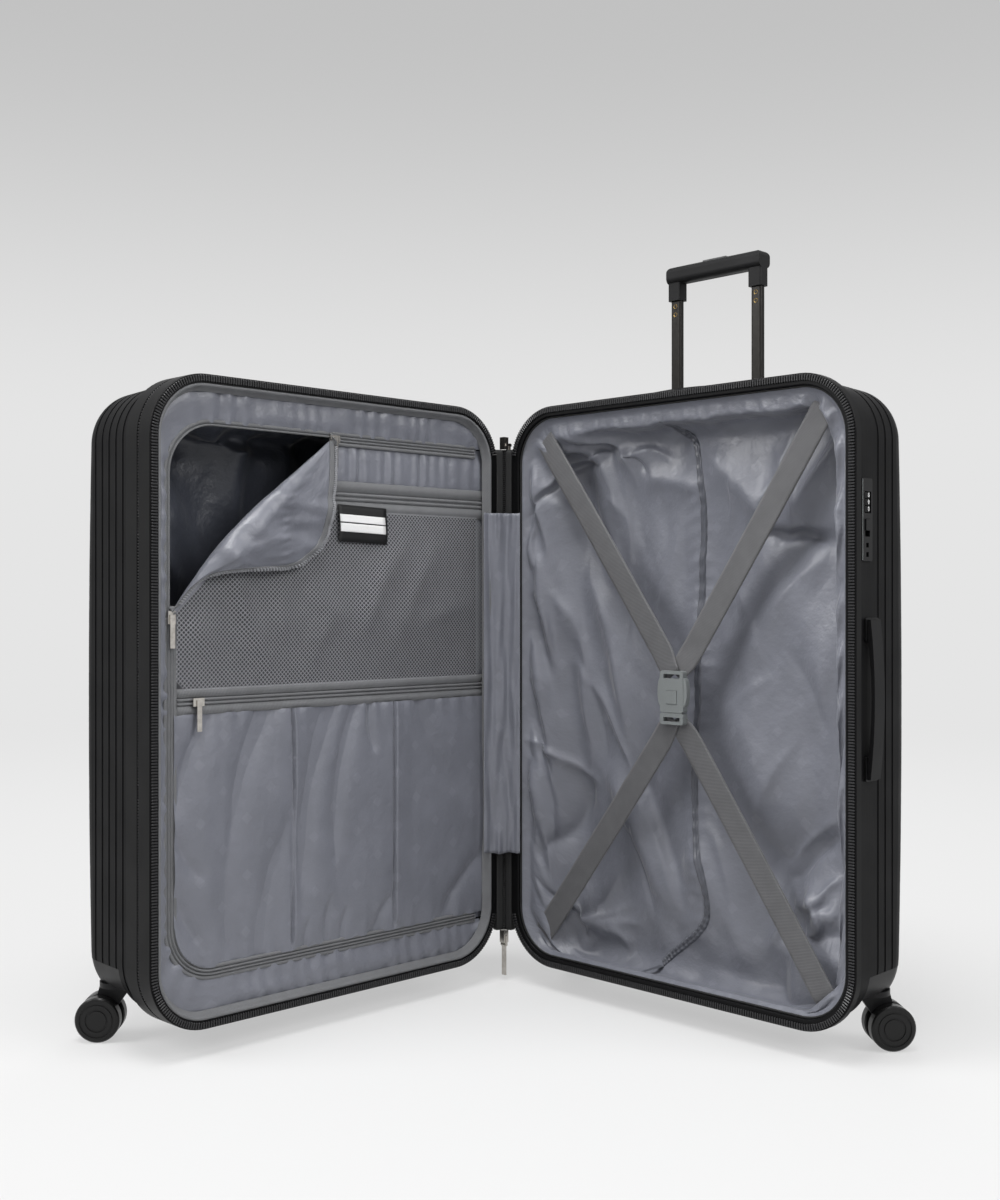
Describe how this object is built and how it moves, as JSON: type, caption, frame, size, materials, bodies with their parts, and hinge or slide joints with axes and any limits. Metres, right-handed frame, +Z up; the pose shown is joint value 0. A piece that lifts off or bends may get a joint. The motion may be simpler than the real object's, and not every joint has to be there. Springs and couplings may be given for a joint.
{
  "type": "hard shell suitcase on wheels",
  "caption": "Hard shell zip suitcase standing open on swivel twin-wheel casters, with lined halves, zipped divider, cross straps and telescopic handle.",
  "frame": {"origin": "on the floor, under the middle of the opened case", "axes": "+Z up, +X along the base half from the spine to its outer side, +Y into the depth of the base half"},
  "size_m": [0.7058, 0.6697, 0.9116],
  "materials": {
    "shell_plastic": "fine matte texture",
    "rim_plastic": "satin",
    "zipper_nylon": "matte",
    "lining_cloth": "satin weave",
    "tape_cloth": "twill",
    "mesh_cloth": "open knit",
    "webbing": "ribbed webbing",
    "buckle_plastic": "satin",
    "tube_aluminium": "dark anodised",
    "handle_plastic": "satin",
    "lock_plastic": "satin",
    "slider_metal": "gunmetal",
    "steel": "turned",
    "wheel_rubber": "matte"
  },
  "bodies": {
    "base": {"base_caster_seats": "handle_plastic", "base_lining": "lining_cloth", "base_rim": "rim_plastic", "base_shell": "shell_plastic", "base_zipper": "zipper_nylon", "buckle_plug": "buckle_plastic", "buckle_socket": "buckle_plastic", "carry_handle_mounts": "handle_plastic", "dial_shaft": "steel", "handle_foot": "handle_plastic", "handle_outer_tubes": "tube_aluminium", "handle_tray": "handle_plastic", "hinge_tape": "tape_cloth", "lock_case": "lock_plastic", "spine_gusset": "lining_cloth", "strap_lower": "webbing", "strap_upper": "webbing", "zipper_sliders": "slider_metal"},
    "lid_frame": {"lid_rim": "rim_plastic", "lid_zipper": "zipper_nylon", "divider_panel": "lining_cloth", "divider_flap": "lining_cloth", "divider_zippers": "tape_cloth", "mesh_pocket": "mesh_cloth", "pleat_pocket": "lining_cloth", "divider_sliders": "slider_metal", "expander_chain_rim": "zipper_nylon", "expander_gusset": "tape_cloth"},
    "lid_shell": {"lid_collar": "rim_plastic", "lid_shell": "shell_plastic", "lid_lining": "lining_cloth", "lid_caster_seats": "handle_plastic", "expander_chain_collar": "zipper_nylon"},
    "handle_mid": {"handle_mid_tubes": "tube_aluminium"},
    "handle_inner": {"handle_inner_tubes": "tube_aluminium", "handle_grip": "handle_plastic"},
    "handle_button": {"handle_button": "handle_plastic"},
    "side_handle": {"side_carry_handle": "handle_plastic"},
    "top_handle": {"top_carry_handle": "handle_plastic"},
    "dial_1": {"lock_dial_1": "lock_plastic"},
    "dial_2": {"lock_dial_2": "lock_plastic"},
    "dial_3": {"lock_dial_3": "lock_plastic"},
    "latch": {"lock_latch": "lock_plastic"},
    "buckle_panel": {"buckle_button": "buckle_plastic"},
    "pull_upper": {"zipper_pull_upper": "slider_metal"},
    "pull_lower": {"zipper_pull_lower": "slider_metal"},
    "pocket_slider": {"pocket_slider": "slider_metal"},
    "caster_base_outer": {"caster_fork_base_outer": "handle_plastic"},
    "wheel_base_outer_a": {"wheel_base_outer_a": "wheel_rubber"},
    "wheel_base_outer_b": {"wheel_base_outer_b": "wheel_rubber"},
    "caster_base_spine": {"caster_fork_base_spine": "handle_plastic"},
    "wheel_base_spine_a": {"wheel_base_spine_a": "wheel_rubber"},
    "wheel_base_spine_b": {"wheel_base_spine_b": "wheel_rubber"},
    "caster_lid_outer": {"caster_fork_lid_outer": "handle_plastic"},
    "wheel_lid_outer_a": {"wheel_lid_outer_a": "wheel_rubber"},
    "wheel_lid_outer_b": {"wheel_lid_outer_b": "wheel_rubber"},
    "caster_lid_spine": {"caster_fork_lid_spine": "handle_plastic"},
    "wheel_lid_spine_a": {"wheel_lid_spine_a": "wheel_rubber"},
    "wheel_lid_spine_b": {"wheel_lid_spine_b": "wheel_rubber"}
  },
  "joints": [
    {"name": "lid_hinge", "type": "hinge", "parent": "base", "child": "lid_frame", "pos_m": [-0.1739, 0.1934, 0], "axis": [0, 0, 1], "range_deg": [-90, 90], "deforming": ["hinge_tape", "spine_gusset"]},
    {"name": "expander_slide", "type": "slide", "parent": "lid_frame", "child": "lid_shell", "axis": [-1, 0, 0], "range_m": [0, 0.036], "deforming": ["expander_gusset"]},
    {"name": "handle_mid_slide", "type": "slide", "parent": "base", "child": "handle_mid", "axis": [0, 0, 1], "range_m": [0, 0.19]},
    {"name": "handle_inner_slide", "type": "slide", "parent": "handle_mid", "child": "handle_inner", "axis": [0, 0, 1], "range_m": [-0.1695, 0.02]},
    {"name": "handle_button_press", "type": "slide", "parent": "handle_inner", "child": "handle_button", "axis": [0, 0, -1], "range_m": [0, 0.003], "stiffness_N_per_m": 800},
    {"name": "side_handle_lift", "type": "slide", "parent": "base", "child": "side_handle", "axis": [1, 0, 0], "range_m": [0, 0.0065], "stiffness_N_per_m": 300},
    {"name": "top_handle_lift", "type": "slide", "parent": "base", "child": "top_handle", "axis": [0, 0, 1], "range_m": [0, 0.0065]},
    {"name": "dial_1_turn", "type": "hinge", "parent": "base", "child": "dial_1", "pos_m": [0.3371, 0.2244, 0.5912], "axis": [0, 0, 1], "continuous": true},
    {"name": "dial_2_turn", "type": "hinge", "parent": "base", "child": "dial_2", "pos_m": [0.3371, 0.2244, 0.5985], "axis": [0, 0, 1], "continuous": true},
    {"name": "dial_3_turn", "type": "hinge", "parent": "base", "child": "dial_3", "pos_m": [0.3371, 0.2244, 0.6058], "axis": [0, 0, 1], "continuous": true},
    {"name": "latch_slide", "type": "slide", "parent": "base", "child": "latch", "axis": [0, 0, -1], "range_m": [0, 0.0055], "stiffness_N_per_m": 500},
    {"name": "buckle_press", "type": "slide", "parent": "base", "child": "buckle_panel", "axis": [0, 1, 0], "range_m": [0, 0.002], "stiffness_N_per_m": 600},
    {"name": "pocket_slider_travel", "type": "slide", "parent": "lid_frame", "child": "pocket_slider", "axis": [0, 1, 0], "range_m": [0, 0.395]},
    {"name": "pull_upper_swing", "type": "hinge", "parent": "base", "child": "pull_upper", "pos_m": [-0.1739, 0.2014, 0.6965], "axis": [1, 0, 0], "range_deg": [-4, 100]},
    {"name": "pull_lower_swing", "type": "hinge", "parent": "base", "child": "pull_lower", "pos_m": [-0.1739, 0.1934, 0.0465], "axis": [1, 0, 0], "range_deg": [-30, 75]},
    {"name": "swivel_base_outer", "type": "hinge", "parent": "base", "child": "caster_base_outer", "pos_m": [0.3091, 0.2864, 0.03], "axis": [0, 0, 1], "continuous": true},
    {"name": "wheel_base_outer_a_spin", "type": "hinge", "parent": "caster_base_outer", "child": "wheel_base_outer_a", "pos_m": [0.32248, 0.30126, 0.025], "axis": [-0.7431, 0.6691, 0], "continuous": true},
    {"name": "wheel_base_outer_b_spin", "type": "hinge", "parent": "caster_base_outer", "child": "wheel_base_outer_b", "pos_m": [0.32248, 0.30126, 0.025], "axis": [-0.7431, 0.6691, 0], "continuous": true},
    {"name": "swivel_base_spine", "type": "hinge", "parent": "base", "child": "caster_base_spine", "pos_m": [-0.1269, 0.2864, 0.03], "axis": [0, 0, 1], "continuous": true},
    {"name": "wheel_base_spine_a_spin", "type": "hinge", "parent": "caster_base_spine", "child": "wheel_base_spine_a", "pos_m": [-0.13374, 0.30519, 0.025], "axis": [-0.9397, -0.342, 0], "continuous": true},
    {"name": "wheel_base_spine_b_spin", "type": "hinge", "parent": "caster_base_spine", "child": "wheel_base_spine_b", "pos_m": [-0.13374, 0.30519, 0.025], "axis": [-0.9397, -0.342, 0], "continuous": true},
    {"name": "swivel_lid_outer", "type": "hinge", "parent": "lid_shell", "child": "caster_lid_outer", "pos_m": [-0.3049, -0.2896, 0.03], "axis": [0, 0, 1], "continuous": true},
    {"name": "wheel_lid_outer_a_spin", "type": "hinge", "parent": "caster_lid_outer", "child": "wheel_lid_outer_a", "pos_m": [-0.31854, -0.30423, 0.025], "axis": [-0.7314, 0.682, 0], "continuous": true},
    {"name": "wheel_lid_outer_b_spin", "type": "hinge", "parent": "caster_lid_outer", "child": "wheel_lid_outer_b", "pos_m": [-0.31854, -0.30423, 0.025], "axis": [-0.7314, 0.682, 0], "continuous": true},
    {"name": "swivel_lid_spine", "type": "hinge", "parent": "lid_shell", "child": "caster_lid_spine", "pos_m": [-0.3049, 0.1464, 0.03], "axis": [0, 0, 1], "continuous": true},
    {"name": "wheel_lid_spine_a_spin", "type": "hinge", "parent": "caster_lid_spine", "child": "wheel_lid_spine_a", "pos_m": [-0.32222, 0.1564, 0.025], "axis": [0.5, 0.866, 0], "continuous": true},
    {"name": "wheel_lid_spine_b_spin", "type": "hinge", "parent": "caster_lid_spine", "child": "wheel_lid_spine_b", "pos_m": [-0.32222, 0.1564, 0.025], "axis": [0.5, 0.866, 0], "continuous": true}
  ]
}
